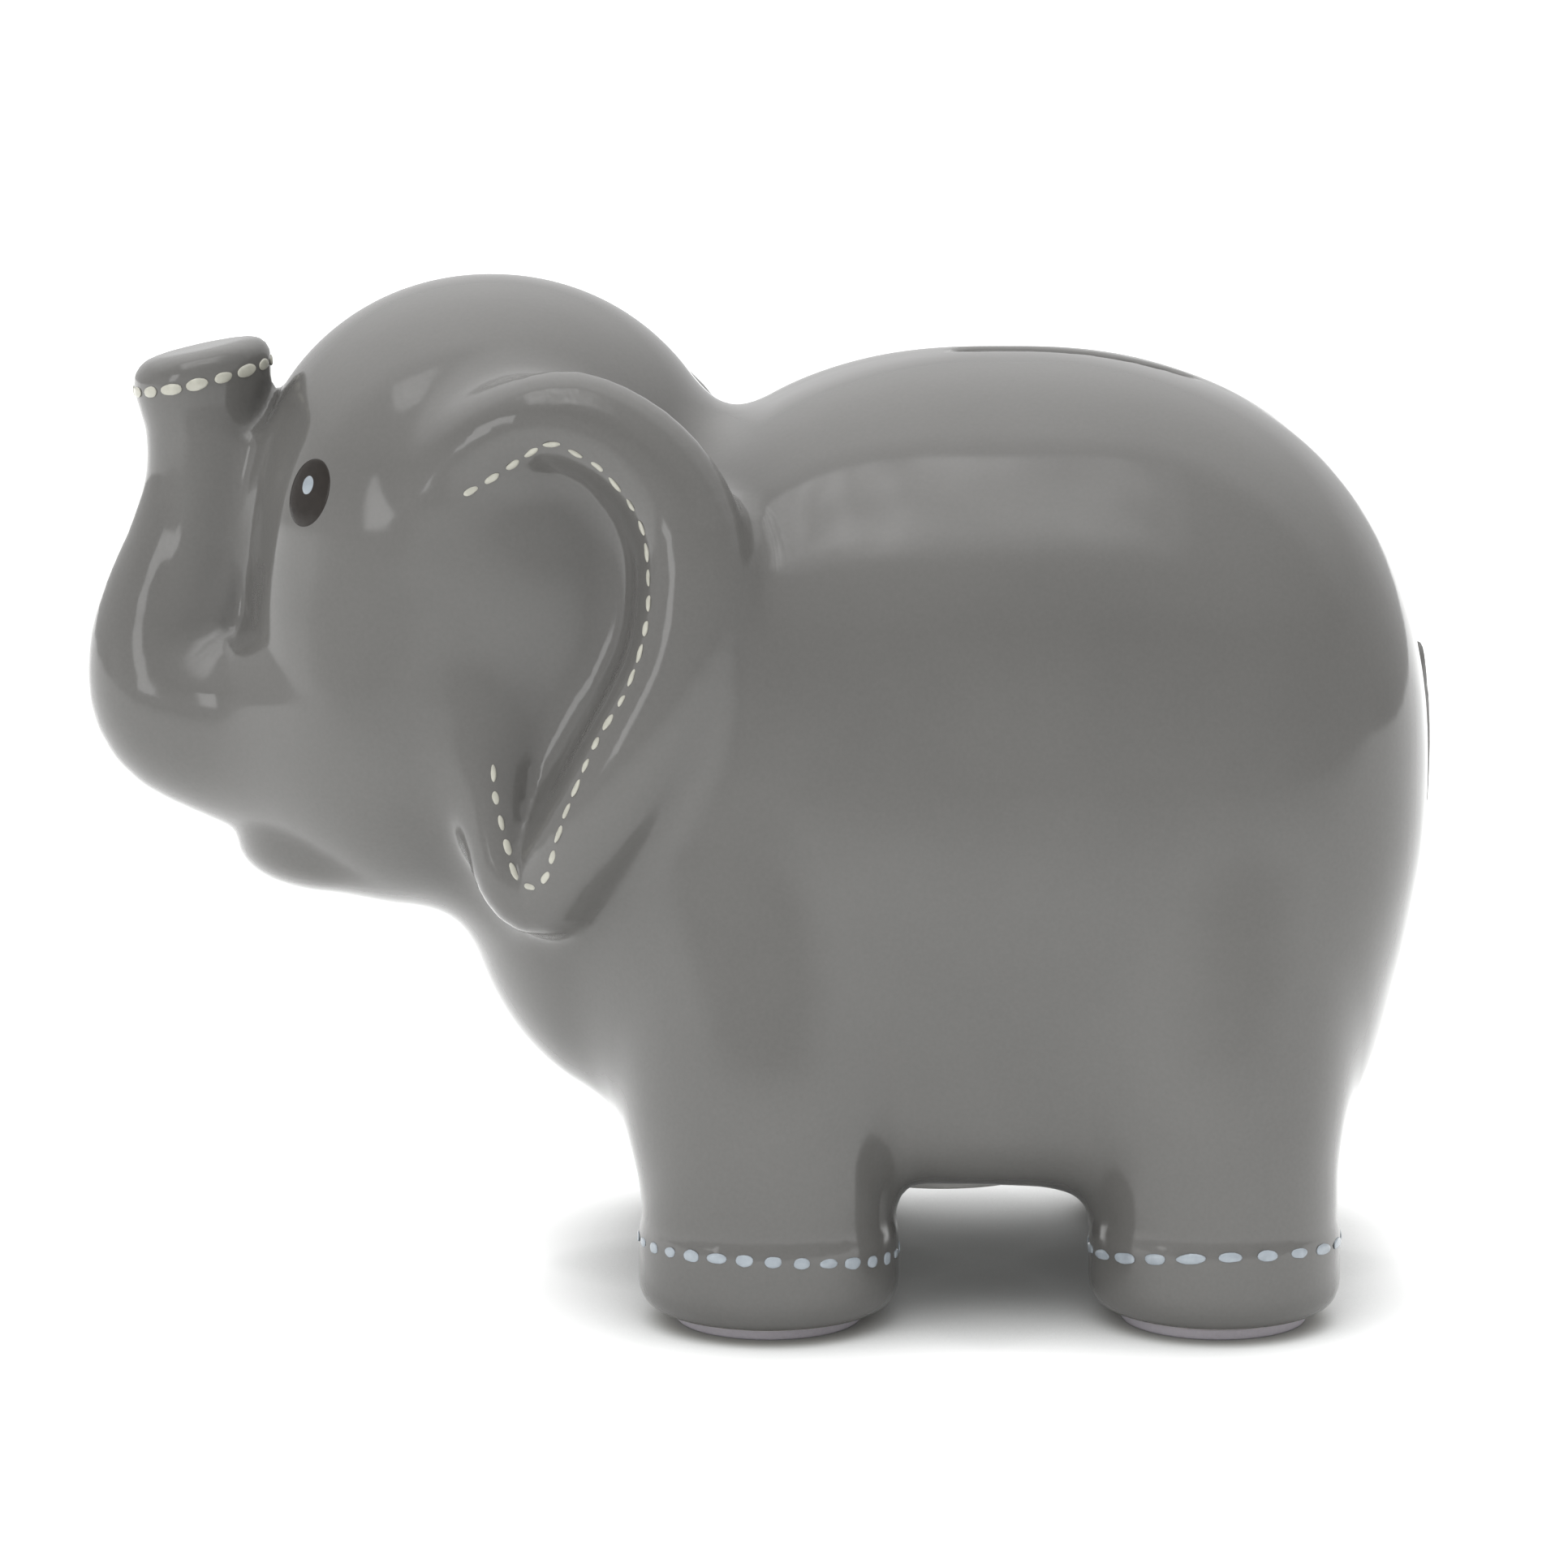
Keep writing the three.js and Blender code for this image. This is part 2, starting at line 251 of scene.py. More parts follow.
left_light = tree.node("Mix", {"data_type": "RGBA", "blend_type": "MULTIPLY"}, {
    0: 1.0, 6: room_light, 7: left_tone}, out=2)
around = tree.node("Background", {}, {"Color": left_light, "Strength": 3.0})
backdrop = tree.node("Background", {}, {"Color": (1, 1, 1, 1), "Strength": 1.1})
seen = tree.node("LightPath", out="Is Camera Ray")
tree.node("OutputWorld", {}, {"Surface": tree.node("MixShader", {}, {0: seen, 1: around, 2: backdrop})})
bpy.context.scene.view_settings.view_transform = "Standard"


# Torso: one slip-cast hollow body. Its barrel, chest, flat belly, haunches and shoulders are round
# masses that run into each other. Solids here are fields in millimetres, negative inside, and are
# worked out on the left half, where y is negative.
BARREL = ((44, 0, 94), (75, 59.5, 73.4), 2.28, 3.4)
RUMP = ((62, 0, 100), (55, 50, 61.5), 2.2, 2.6)
SEAT = ((72, 0, 58), (40.6, 48, 36.5), 2.6, 2.6)
CHEST = ((-6, 0, 78), (47.3, 44, 49.8), 2.2, 2.2)
BELLY = ((41, 0, 54), (54, 49, 32.3), 4.4, 3.4)
HAUNCH = ((78, -27, 54), (25.8, 28, 42), 2.4, 2.4)
SHOULDER = ((1, -25, 54), (27, 28.6, 42), 2.4, 2.4)
TORSO_FILLET = 9
RUMP_FILLET = 4
CHEST_FILLET = 14


def ovoid(point, centre, radii, power, plan):
    """A squared-off ovoid: power bends its outline seen from a side, and plan its outline from above."""
    x, y, z = [np.abs(value - middle) / radius + 1e-6
               for value, middle, radius in zip(point, centre, radii)]
    level = (x ** plan + y ** plan) ** (1 / plan)
    reach = (level ** power + z ** power) ** (1 / power)
    steep_level = (level / reach) ** (power - 1)
    steep = (steep_level * (x / level) ** (plan - 1) / radii[0]) ** 2
    steep = steep + (steep_level * (y / level) ** (plan - 1) / radii[1]) ** 2
    steep = steep + ((z / reach) ** (power - 1) / radii[2]) ** 2
    return (reach - 1) / np.sqrt(steep)


def join(first, second, fillet):
    """Two solids run together, with a fillet of about that size where they meet."""
    share = np.clip(0.5 + 0.5 * (second - first) / fillet, 0, 1)
    return second + (first - second) * share - fillet * share * (1 - share)


def cut(solid, cutter, edge):
    """A solid with a cutter taken out of it and the edge rounded."""
    return -join(-solid, cutter, edge)


def torso(point):
    solid = ovoid(point, *BARREL)
    solid = join(solid, ovoid(point, *RUMP), RUMP_FILLET)
    solid = join(solid, ovoid(point, *CHEST), CHEST_FILLET)
    for mass in (SEAT, BELLY, HAUNCH, SHOULDER):
        solid = join(solid, ovoid(point, *mass), TORSO_FILLET)
    return solid


# Legs: four short hollow stumps with domed tops, sunk in the torso. Below a soft step the foot
# stands a little proud, like a turned-up cuff, and its lower edge is rounded in to the unglazed foot.
LEG_RADII = {"front": 22.6, "rear": 21.8}
LEG_TOP = 38
LEG_TAPER = 3
LEG_FILLET = 5
CUFF = {"height": 17.3, "proud": 0.6, "softness": 0.9}
FOOT_EDGE = 5.5


def pad_centre(end):
    low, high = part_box(f"{end}_left_foot_pad")
    return (low + high) / 2 / MM


PAD_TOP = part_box("front_left_foot_pad")[1].z / MM
FOOT_BOTTOM = PAD_TOP + 0.3


def legs(point):
    x, y, z = point
    nearest = np.full(x.shape, 1e9)
    for end, radius in LEG_RADII.items():
        centre = pad_centre(end)
        cuff = CUFF["proud"] * (0.5 + 0.5 * np.tanh((CUFF["height"] - z) / CUFF["softness"]))
        rise = np.maximum(z - LEG_TOP, 0) / LEG_TAPER
        shaft = np.sqrt((x - centre.x) ** 2 + (y - centre.y) ** 2 + rise ** 2)
        stump = cut(shaft - radius - cuff + CUFF["proud"] / 2, z - FOOT_BOTTOM, FOOT_EDGE)
        nearest = np.minimum(nearest, stump)
    return nearest


# Head: a round cranium over a full muzzle, cast hollow and open to the torso at the neck. The small
# lower lip shows under the cheek, parted from it by a crease.
CRANIUM = ((-47.5, 0, 135.7), (44.2, 43.5, 44.8), 2.05, 2.05)
MUZZLE = ((-61, 0, 104), (31.5, 40, 36.5), 2.1, 2.1)
LOWER_LIP = ((-72, 0, 80.2), (21.8, 25, 10.2), 2.2, 2.2)
NECK_FILLET = 12
MUZZLE_FILLET = 12
LIP_FILLET = 2


def head(point):
    return join(ovoid(point, *CRANIUM), ovoid(point, *MUZZLE), MUZZLE_FILLET)


# Trunk: raised in an S in front of the face. It is thick where it leaves the muzzle, narrows to a
# neck and flares to a lip at its open end. A web of clay ties its back to the forehead, with a
# shallow groove tooled down each side of it.
TRUNK_LINE = [
    (-80, 0, 103, 19), (-93, 0, 101.5, 18), (-101.2, 0, 104.5, 17.8), (-104.8, 0, 112, 15.2),
    (-104.7, 0, 121, 12.8), (-101.7, 0, 132, 11.1), (-98.6, 0, 143, 10.8), (-98.0, 0, 154, 11.2),
    (-99, 0, 164, 12.5), (-99.5, 0, 178, 13.2)]
TRUNK_END = {"x": -101.5, "z": 167.2, "slope": 12, "edge": 5.5}
TRUNK_FILLET = {"neck": 3, "root": 18, "from": 130, "over": 22}
WEB = [(-100, 112), (-80, 112), (-70, 130), (-70, 150), (-84.5, 151.5), (-98, 153), (-100, 130)]
WEB_HALF = 10.0
WEB_EDGE = 3
WEB_FILLET = 6
GROOVE = {"line": [(-81.6, 156.5), (-84.6, 147), (-88.4, 133.5), (-91.6, 119)], "half_width": 2.6,
          "depth": 1.0, "softness": 1.1}


def smooth_line(points, steps):
    """Rows of a smooth line through the given rows."""
    rows = np.array(points, float)
    rows = np.vstack([2 * rows[0] - rows[1], rows, 2 * rows[-1] - rows[-2]])
    line = []
    for before, start, end, after in zip(rows, rows[1:], rows[2:], rows[3:]):
        for along in np.arange(steps) / steps:
            bend = (2 * before - 5 * start + 4 * end - after) * along ** 2
            twist = (3 * start - before - 3 * end + after) * along ** 3
            line.append(start + 0.5 * ((end - before) * along + bend + twist))
    line.append(rows[-2])
    return np.array(line)


def roll(point, line):
    """A round roll of clay along rows of x, y, z and radius."""
    nearest = np.full(point[0].shape, 1e9)
    for start, end in zip(line[:-1], line[1:]):
        way = end - start
        along = sum((point[axis] - start[axis]) * way[axis] for axis in range(3))
        along = np.clip(along / (way[:3] @ way[:3]), 0, 1)
        gap = np.sqrt(sum((point[axis] - start[axis] - along * way[axis]) ** 2 for axis in range(3)))
        nearest = np.minimum(nearest, gap - start[3] - along * way[3])
    return nearest


def outlined(x, z, corners):
    """Distance to a closed outline in X and Z, negative inside."""
    nearest = np.full(x.shape, 1e9)
    inside = np.zeros(x.shape, bool)
    for (ax, az), (bx, bz) in zip(corners, corners[1:] + corners[:1]):
        along = ((x - ax) * (bx - ax) + (z - az) * (bz - az)) / ((bx - ax) ** 2 + (bz - az) ** 2)
        along = np.clip(along, 0, 1)
        nearest = np.minimum(nearest, np.hypot(x - ax - along * (bx - ax), z - az - along * (bz - az)))
        crosses = (az > z) != (bz > z)
        inside ^= crosses & (x < ax + (bx - ax) * (z - az) / (bz - az + 1e-12))
    return np.where(inside, -nearest, nearest)


TRUNK_ROLL = smooth_line(TRUNK_LINE, 5)


def trunk(point):
    x, y, z = point
    slope = math.radians(TRUNK_END["slope"])
    beyond = (z - TRUNK_END["z"]) * math.cos(slope) - (x - TRUNK_END["x"]) * math.sin(slope)
    return cut(roll(point, TRUNK_ROLL), -beyond, TRUNK_END["edge"])


def trunk_web(point):
    x, y, z = point
    return cut(outlined(x, z, WEB), y + WEB_HALF, WEB_EDGE)


def grooved(point, solid):
    x, y, z = point
    line = smooth_line([(x, 0, z, GROOVE["half_width"]) for x, z in GROOVE["line"]], 3)
    groove = roll([x, np.zeros_like(y), z], line)
    return solid + GROOVE["depth"] * (0.5 - 0.5 * np.tanh(groove / GROOVE["softness"]))


# Ears: a thick rolled rim round a dished middle, each laid on from the cheek to the nape, rim
# standing free of the body behind and closing to a narrow V below. In front it fades into the cheek.
EAR_LINE = [
    (-51, -38.5, 148.5, 3.4), (-47.5, -40.5, 154.6, 5.4), (-41, -42, 158.6, 6.8),
    (-31.5, -43.5, 159.8, 7.8), (-20.8, -44, 154.4, 8.2), (-13.2, -45, 145, 8.8), (-10.2, -47, 133, 9.8),
    (-12.6, -48.6, 117.5, 10), (-20.4, -48.6, 102.5, 9.6), (-29, -46, 88.2, 8.8), (-36.8, -40.8, 77.6, 7.6),
    (-42.6, -41.2, 80, 5.6), (-45.2, -40.2, 88, 4.2), (-46.8, -38.5, 97, 3.4), (-47.6, -35.5, 106, 2.4)]
EAR_FACE = {"from": -45, "y": -36.5, "flare": 0.13, "edge": 5, "fillet": 12}
EAR_FILLET = {"front": 10, "rear": 6, "from": -28, "over": 14}
EAR_CARVE = {"from": -45, "y": -52, "slope": 0.5, "inside": -2, "edge": 6}
EAR_ROLL = smooth_line(EAR_LINE, 4)


def ear_outline(x, z):
    return outlined(x, z, [(row[0], row[2]) for row in EAR_ROLL[::2]])


def ear_carve(point):
    """What is tooled away in front of the dished middle, next to the rim."""
    x, y, z = point
    face = EAR_CARVE["y"] + EAR_CARVE["slope"] * (x - EAR_CARVE["from"])
    return np.maximum(ear_outline(x, z) + EAR_CARVE["inside"], y - face)


def ear(point):
    x, y, z = point
    middle = ear_outline(x, z)
    face = EAR_FACE["y"] - EAR_FACE["flare"] * (x - EAR_FACE["from"])
    dish = cut(middle, y - face, EAR_FACE["edge"])
    return join(roll(point, EAR_ROLL), dish, EAR_FACE["fillet"])


def ear_fillet(x):
    """The ear runs softly into the cheek in front and stands off the body sharply behind."""
    front = np.clip((EAR_FILLET["from"] - x) / EAR_FILLET["over"], 0, 1)
    return EAR_FILLET["rear"] + (EAR_FILLET["front"] - EAR_FILLET["rear"]) * front


# Tail: a low relief down the middle of the rump, ending in a wider tuft.
TAIL = {"top": 115, "bottom": 74, "half_width": 2.6, "tuft": 2.2, "proud": 1.5, "edge": 1.2,
        "fillet": 0.8, "front": 60}


def tail(point, body):
    x, y, z = point
    down = np.clip((TAIL["top"] - z) / (TAIL["top"] - TAIL["bottom"]), 0, 1)
    half = TAIL["half_width"] + TAIL["tuft"] * down ** 2
    middle = (TAIL["top"] + TAIL["bottom"]) / 2
    ends = np.abs(z - middle) - (TAIL["top"] - middle)
    strip = join(-join(half - np.abs(y), -ends, 3), np.full(x.shape, 50.0), 1)
    strip = np.maximum(strip, TAIL["front"] - x)
    return cut(strip, TAIL["proud"] - body, TAIL["edge"])


# Casting: torso, legs, head, trunk, ears and tail fired as one piece under one grey gloss glaze,
# 4 mm thick round one cavity. The coin slot and the belly hole are cut through while it is soft.
WALL = 4.0
SLOT = {"x": 56.2, "half_length": 20.65, "half_width": 2.5, "lip": 1.6, "bottom": 150}
stopper_low, stopper_high = (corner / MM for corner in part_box("stopper"))
HOLE = {"x": (stopper_low.x + stopper_high.x) / 2, "radius": 16.2, "lip": 1.2, "top": 40}


def coin_slot(point):
    x, y, z = point
    reach = SLOT["half_length"] - SLOT["half_width"]
    across = np.hypot(np.maximum(np.abs(x - SLOT["x"]) - reach, 0), y) - SLOT["half_width"]
    return np.maximum(across, SLOT["bottom"] - z)


def belly_hole(point):
    x, y, z = point
    return np.maximum(np.hypot(x - HOLE["x"], y) - HOLE["radius"], z - HOLE["top"])


def hollow_core(point):
    """The torso, legs and head alone, which the slip leaves hollow."""
    solid = cut(join(torso(point), head(point), NECK_FILLET), ear_carve(point), EAR_CARVE["edge"])
    return join(solid, legs(point), LEG_FILLET)


def outside(point):
    solid = hollow_core(point)
    root = np.clip((TRUNK_FILLET["from"] - point[2]) / TRUNK_FILLET["over"], 0, 1)
    fillet = TRUNK_FILLET["neck"] + (TRUNK_FILLET["root"] - TRUNK_FILLET["neck"]) * root
    solid = join(solid, trunk(point), fillet)
    solid = grooved(point, join(solid, trunk_web(point), WEB_FILLET))
    solid = join(solid, ovoid(point, *LOWER_LIP), LIP_FILLET)
    solid = join(solid, ear(point), ear_fillet(point[0]))
    return join(solid, tail(point, solid), TAIL["fillet"])


def casting(point):
    point = [point[0], -np.abs(point[1]), point[2]]
    shell = np.maximum(outside(point), -WALL - hollow_core(point))
    shell = cut(shell, coin_slot(point), SLOT["lip"])
    return cut(shell, belly_hole(point), HOLE["lip"])


def mirrored_samples(solid, low, counts, spacing):
    """Samples of a solid on an even grid that ends at y = 0, and their mirror image. It starts on
    every fourth point and refines only near the surface."""
    step = 4
    axes = [start + spacing * np.arange(0, count + 1, step) for start, count in zip(low, counts)]
    samples = solid(np.meshgrid(*axes, indexing="ij"))
    while step > 1:
        near = np.abs(samples) < 2.3 * step * spacing
        step //= 2
        axes = [start + spacing * np.arange(0, count + 1, step) for start, count in zip(low, counts)]
        inner = tuple(slice(0, len(axis)) for axis in axes)
        for axis in range(3):
            samples = np.repeat(samples, 2, axis=axis)
            near = np.repeat(near, 2, axis=axis)
        samples = samples[inner].copy()
        near = near[inner]
        samples[near] = solid([part[near] for part in np.meshgrid(*axes, indexing="ij")])
    return np.concatenate([samples, samples[:, -2::-1]], axis=1)


def slope(points, solid):
    """The solid's field at points, and its steepest way there."""
    reach = 0.1
    here = solid(points.T)
    ways = [(solid(points.T + reach * side[:, None]) - here) / reach for side in np.eye(3)]
    return here, np.array(ways).T


def settle(points, solid, rounds=2):
    """Moves points to the surface of a solid along its steepest way."""
    for _ in range(rounds):
        here, steep = slope(points, solid)
        points = points - (here / np.maximum((steep ** 2).sum(1), 0.2))[:, None] * steep
    return points


SPACING = 1.4
GRID_SIZE = (252, 76.5, 190)
INNER_WALL_KEPT = 0.62
low = [-126, -76.5, -3]
counts = [4 * math.ceil(size / SPACING / 4) for size in GRID_SIZE]
low[1] = -SPACING * counts[1]
grid = openvdb.FloatGrid(10.0)
samples = mirrored_samples(casting, low, counts, SPACING)
grid.copyFromArray(np.clip(samples, -9, 9).astype(np.float32))
corners, quads = grid.convertToQuads(isovalue=0.0)
corners = settle(corners * SPACING + np.array(low), casting)
skin = new_object("ceramic_casting", corners * MM, quads[:, ::-1])


def depth_inside(points):
    return -hollow_core([points[:, 0], -np.abs(points[:, 1]), points[:, 2]])


def finished(made):
    """The object's mesh with its modifiers worked in."""
    mesh = bpy.data.meshes.new_from_object(made.evaluated_get(bpy.context.evaluated_depsgraph_get()))
    made.modifiers.clear()
    made.data = mesh
    return made


unseen = skin.vertex_groups.new(name="inner_wall")
unseen.add(np.flatnonzero(depth_inside(corners) > WALL - 0.4).tolist(), 1, "REPLACE")
thinner = skin.modifiers.new("thinner_inner_wall", "DECIMATE")
thinner.ratio = INNER_WALL_KEPT
thinner.vertex_group = unseen.name
thinner.vertex_group_factor = 10
finished(skin)
corners = np.array([vertex.co for vertex in skin.data.vertices]) / MM

GLAZE = linear(92, 91, 89)
BISQUE = linear(205, 196, 182)

bare = skin.data.attributes.new("bare", "FLOAT", "POINT")
bare.data.foreach_set("value", np.clip(depth_inside(corners) - WALL / 2 + 0.5, 0, 1).astype(np.float32))

glaze, tree = new_material("grey_gloss_glaze")
place = tree.node("TexCoord", out="Object")
height = tree.node("SeparateXYZ", {}, {0: place}, out=2)
cloud = tree.node("TexNoise", {}, {"Vector": place, "Scale": 22.0, "Detail": 3.0})
speck = tree.node("TexNoise", {}, {"Vector": place, "Scale": 1400.0, "Detail": 2.0})
peel = tree.node("TexNoise", {}, {"Vector": place, "Scale": 75.0, "Detail": 1.0})
glaze_tone = tree.node("ValToRGB", {}, {0: cloud * 0.7 + speck * 0.3}, stops=[
    (0.3, tuple(0.9 * part for part in GLAZE)), (0.7, tuple(1.08 * part for part in GLAZE))])
unglazed = (tree.node("Attribute", {"attribute_name": "bare"}, out="Fac")
            + ((FOOT_BOTTOM + 0.5) * MM - height) * 4000).clamp()
color = tree.node("Mix", {"data_type": "RGBA"}, {0: unglazed, 6: glaze_tone, 7: (*BISQUE, 1)}, out=2)
roughness = 0.09 + cloud * 0.05 + unglazed * 0.7
bump = tree.node("Bump", {}, {"Height": peel, "Strength": 0.25, "Distance": 0.0004})
surface = tree.node("BsdfPrincipled", {}, {
    "Base Color": color, "Roughness": roughness, "Normal": bump, "IOR": 1.5})
tree.node("OutputMaterial", {}, {"Surface": surface})
skin.data.materials.append(glaze)

LEG_NODES = [f"{end}_{side}_leg" for end in LEG_RADII for side in ("left", "right")]
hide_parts("torso_shell", "head_shell", "trunk", "left_ear", "right_ear", "tail", *LEG_NODES)
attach(skin, "bank")

# Stitches: pale enamel dashes painted by hand round the ears, the trunk end and the feet, and fired
# on the glaze, so that each stands a little proud of it. A row starts as a line on the surface.
EAR_STITCHES = [
    (-48.9, 147.6), (-46.1, 149.2), (-42, 152.1), (-35.5, 156.1), (-31.7, 155), (-26.3, 151.7),
    (-20.1, 143.4), (-18.5, 135.1), (-18.8, 125.4), (-22.3, 114.3), (-27.2, 105.9), (-32.1, 94.7),
    (-34.5, 87.7), (-36, 82),
    (-38.8, 79.2), (-41.6, 80.9), (-42.9, 84.9), (-44, 89.1), (-45.1, 93.3), (-45.5, 98.2)]
EAR_DASH = {"spacing": 4.3, "length": 3.0, "width": 1.15}
TRUNK_STITCHES = {"centre": (-97.5, 0, 162.6), "radius": 12, "slope": 13, "spacing": 4.9,
                  "length": 3.9, "width": 1.85}
FOOT_STITCHES = {
    "front": {"height": 13.8, "rise_to_rear": -1.2, "rise_outside": 1.9, "spacing": 5.1, "length": 3.4},
    "rear": {"height": 13.9, "rise_to_rear": 0.9, "rise_outside": 2.4, "spacing": 6.9, "length": 4.7}}
FOOT_DASH_WIDTH = 1.95
DASH_HEIGHT = 0.3
DASH_SHAKE = 0.3
CUBE_SHRINK = 0.83


def drop(points):
    """Points moved in from the left until they meet the casting."""
    points = np.array(points, float)
    points[:, 1] = -80
    for _ in range(60):
        points[:, 1] += 0.8 * np.maximum(casting(points.T), 0)
    return settle(points, casting)


def dashes():
    group = bpy.data.node_groups.new("painted_dashes", "GeometryNodeTree")
    for label, kind in (("Rows", "Geometry"), ("Spacing", "Float"), ("Size", "Vector"), ("Shake", "Float"),
                        ("Seed", "Int"), ("Paint", "Material")):
        group.interface.new_socket(label, in_out="INPUT", socket_type="NodeSocket" + kind)
    group.interface.new_socket("Dashes", in_out="OUTPUT", socket_type="NodeSocketGeometry")
    tree = Tree(group, "GeometryNode")
    given = tree.node("NodeGroupInput")
    line = tree.node("MeshToCurve", {}, {"Mesh": given.pick("Rows")})
    points = tree.node("CurveToPoints", {"mode": "LENGTH"}, {
        "Curve": line, "Length": given.pick("Spacing")})
    out = tree.node("InputNamedAttribute", {"data_type": "FLOAT_VECTOR"}, {"Name": "out"})
    upright = tree.node("FunctionNodeAlignRotationToVector", {"axis": "Z"}, {"Vector": out})
    turned_along = tree.node("FunctionNodeAlignRotationToVector", {"axis": "X", "pivot_axis": "Z"}, {
        "Rotation": upright, "Vector": points.pick("Tangent")})
    varied = tree.node("FunctionNodeRandomValue", {"data_type": "FLOAT_VECTOR"}, {
        0: (0.78, 0.82, 0.9), 1: (1.15, 1.15, 1.1), "Seed": given.pick("Seed")})
    size = tree.node("ShaderNodeVectorMath", {"operation": "MULTIPLY"}, {0: given.pick("Size"), 1: varied})
    block = tree.node("MeshCube", {}, {"Size": (1 / CUBE_SHRINK,) * 3})
    dab = tree.node("SubdivisionSurface", {}, {"Mesh": block, "Level": 2})
    placed = tree.node("InstanceOnPoints", {}, {
        "Points": points, "Instance": dab, "Rotation": turned_along, "Scale": size})
    slip = tree.node("FunctionNodeRandomValue", {"data_type": "FLOAT_VECTOR"}, {
        0: (-0.6, -1, 0), 1: (0.6, 1, 0), "Seed": 7})
    shake = tree.node("ShaderNodeVectorMath", {"operation": "SCALE"}, {
        0: slip, "Scale": given.pick("Shake")})
    shaken = tree.node("TranslateInstances", {}, {"Instances": placed, "Translation": shake})
    real = tree.node("RealizeInstances", {}, {"Geometry": shaken})
    wobble = tree.node("ShaderNodeTexNoise", {}, {"Scale": 450.0, "Detail": 1.0}, out="Color")
    wobble = tree.node("ShaderNodeVectorMath", {"operation": "SUBTRACT"}, {0: wobble, 1: (0.5, 0.5, 0.5)})
    wobble = tree.node("ShaderNodeVectorMath", {"operation": "SCALE"}, {0: wobble, "Scale": 0.5 * MM})
    uneven = tree.node("SetPosition", {}, {"Geometry": real, "Offset": wobble})
    smooth = tree.node("SetShadeSmooth", {}, {"Geometry": uneven})
    painted = tree.node("SetMaterial", {}, {"Geometry": smooth, "Material": given.pick("Paint")})
    tree.node("NodeGroupOutput", {}, {"Dashes": painted})
    return group


DASHES = dashes()


def painted_rows(name, rows, paint, spacing, length, width, seed, closed=True, sides=(1, -1)):
    """Rows of dashes along lines that lie on the casting, and along their mirror images."""
    points, edges = [], []
    for row in rows:
        for side in sides:
            first = len(points)
            points += [(x, side * y, z) for x, y, z in row]
            edges += [(first + i, first + i + 1) for i in range(len(row) - 1)]
            edges += [(first + len(row) - 1, first)] * closed
    made = new_object(name, np.array(points) * MM, [], edges)
    outward = slope(np.array(points), casting)[1]
    out = made.data.attributes.new("out", "FLOAT_VECTOR", "POINT")
    out.data.foreach_set("vector", outward.ravel().astype(np.float32))
    dashed = made.modifiers.new("dashes", "NODES")
    dashed.node_group = DASHES
    values = {"Spacing": spacing * MM, "Size": Vector((length, width, 2 * DASH_HEIGHT)) * MM,
              "Shake": DASH_SHAKE * MM, "Seed": seed, "Paint": paint}
    for socket in DASHES.interface.items_tree:
        if socket.name in values:
            dashed[socket.identifier] = values[socket.name]
    finished(made)
    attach(made, "bank")


def enamel(name, tone, ior=1.5):
    paint, tree = new_material(name)
    place = tree.node("TexCoord", out="Object")
    patchy = tree.node("TexNoise", {}, {"Vector": place, "Scale": 500.0, "Detail": 2.0})
    color = tree.node("ValToRGB", {}, {0: patchy}, stops=[
        (0.3, tuple(0.86 * part for part in tone)), (0.7, tuple(1.08 * part for part in tone))])
    brushed = tree.node("Bump", {}, {"Height": patchy, "Strength": 0.3, "Distance": 0.0002})
    surface = tree.node("BsdfPrincipled", {}, {
        "Base Color": color, "Roughness": patchy * 0.1 + 0.14, "Normal": brushed, "IOR": ior})
    tree.node("OutputMaterial", {}, {"Surface": surface})
    return paint


cream = enamel("cream_enamel", linear(170, 169, 158))
# The dashes on the feet are given a cooler, darker tone than those on the ears and the trunk.
foot_stitch_paint = enamel("foot_stitch_enamel", linear(150, 158, 165))

ear_row = smooth_line([(x, 0, z) for x, z in EAR_STITCHES], 4)
painted_rows("ear_stitches", [drop(ear_row)], cream, EAR_DASH["spacing"], EAR_DASH["length"],
             EAR_DASH["width"], seed=11, closed=False)

turn = np.linspace(0, 2 * math.pi, 72, endpoint=False)
slant = math.radians(TRUNK_STITCHES["slope"])
reach = TRUNK_STITCHES["radius"] * np.cos(turn)
side = TRUNK_STITCHES["radius"] * np.sin(turn)
round_trunk = np.stack([reach * math.cos(slant), side, reach * math.sin(slant)], 1)
round_trunk = round_trunk + TRUNK_STITCHES["centre"]
painted_rows("trunk_stitches", [settle(round_trunk, casting, 4)], cream, TRUNK_STITCHES["spacing"],
             TRUNK_STITCHES["length"], TRUNK_STITCHES["width"], seed=5, sides=(1,))

for end, row in FOOT_STITCHES.items():
    centre = pad_centre(end)
    height = row["height"] + row["rise_to_rear"] * np.cos(turn)
    height += row["rise_outside"] * np.maximum(-np.sin(turn), 0) ** 2
    reach = LEG_RADII[end] + CUFF["proud"]
    round_foot = np.stack([centre.x + reach * np.cos(turn), centre.y + reach * np.sin(turn), height], 1)
    painted_rows(f"{end}_foot_stitches", [settle(round_foot, casting)], foot_stitch_paint, row["spacing"],
                 row["length"], FOOT_DASH_WIDTH, seed=23)


# Eyes: a dark brown oval of enamel on each side of the face, with a pale glint painted over it.
EYE = {"middle": (-77.9, 145.5), "half_width": 4.9, "half_height": 6.2, "lean": 19, "thickness": 0.25}
GLINT = {"middle": (-77.8, 146.7), "half_width": 1.5, "half_height": 1.85, "lean": 12, "thickness": 0.5}
SPOT_SUNK = 0.5


